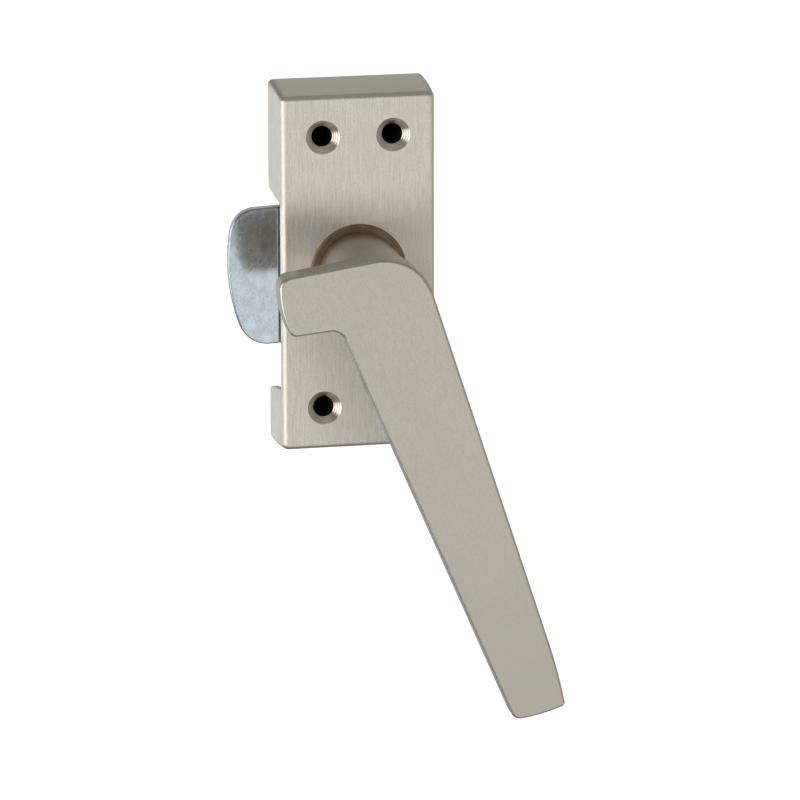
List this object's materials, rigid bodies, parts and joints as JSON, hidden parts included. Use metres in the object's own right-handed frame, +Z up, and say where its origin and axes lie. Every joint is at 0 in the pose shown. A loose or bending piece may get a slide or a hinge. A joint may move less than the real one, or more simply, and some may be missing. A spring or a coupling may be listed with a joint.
{
  "type": "window latch",
  "caption": "Window latch with an open-backed face-fixed housing, a flat angled lever on a round neck, and a plate tongue that swings out of a slot in one side.",
  "frame": {"origin": "on the spindle's axis, at the wall plane that the housing's open back rests on; also the centre of the four screw holes", "axes": "+Z up the housing, +X to the right seen from the front, -Y out of the wall along the spindle towards the lever"},
  "size_m": [0.0717, 0.0471, 0.1425],
  "materials": {
    "satin_nickel": "vertically brushed satin nickel plate on a zinc casting",
    "bronze_bush": "dull sintered bronze",
    "zinc_plate": "bright zinc plated steel, slightly mottled",
    "steel_fastener": "zinc plated steel",
    "spring_steel": "oiled spring steel"
  },
  "bodies": {
    "housing_body": {"housing": "satin_nickel", "bearing_bush": "bronze_bush", "thrust_washer": "steel_fastener"},
    "handle_body": {"lever_handle": "satin_nickel", "square_spindle": "steel_fastener", "disc_spring_front": "spring_steel", "disc_spring_back": "spring_steel", "tongue": "zinc_plate", "plain_washer": "steel_fastener", "lock_washer": "spring_steel", "retaining_screw": "steel_fastener"}
  },
  "joints": [
    {"name": "handle_turn", "type": "hinge", "parent": "housing_body", "child": "handle_body", "pos_m": [0, 0, 0], "axis": [0, -1, 0], "range_deg": [-3, 75]}
  ]
}
